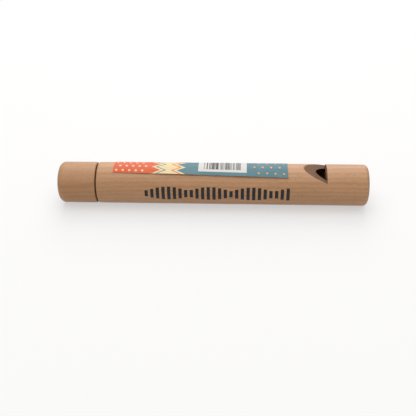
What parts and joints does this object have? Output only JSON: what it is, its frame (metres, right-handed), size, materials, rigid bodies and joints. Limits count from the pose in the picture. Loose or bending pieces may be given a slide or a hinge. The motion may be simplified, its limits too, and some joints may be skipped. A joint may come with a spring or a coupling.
{
  "type": "slide whistle",
  "caption": "Round wooden slide whistle: a barrel with a notch near its blocked mouth end, a paper label, and a rod and piston pulled by a round wooden handle.",
  "frame": {"origin": "on the barrel's axis, at the mouth face", "axes": "+X along the barrel towards the mouth, +Z out of the notch, +Y completes the right-handed frame"},
  "size_m": [0.21, 0.028, 0.0282],
  "materials": {
    "barrel_wood": "plain turned beech, unvarnished, fine flecks along the length",
    "block_wood": "plain turned hardwood",
    "rod_wood": "plain birch dowel",
    "printed_paper": "coated paper printed in orange, cream and blue",
    "seal_rubber": "matt black rubber",
    "plated_steel": "bright zinc plate"
  },
  "bodies": {
    "barrel": {"barrel": "barrel_wood", "fipple_block": "block_wood", "end_collar": "block_wood", "paper_label": "printed_paper"},
    "slide": {"slide_handle": "barrel_wood", "slide_rod": "rod_wood", "piston_head": "block_wood", "piston_seal": "seal_rubber", "piston_washer": "plated_steel", "piston_screw": "plated_steel"}
  },
  "joints": [
    {"name": "slide_pull", "type": "slide", "parent": "barrel", "child": "slide", "axis": [-1, 0, 0], "range_m": [0, 0.108]}
  ]
}
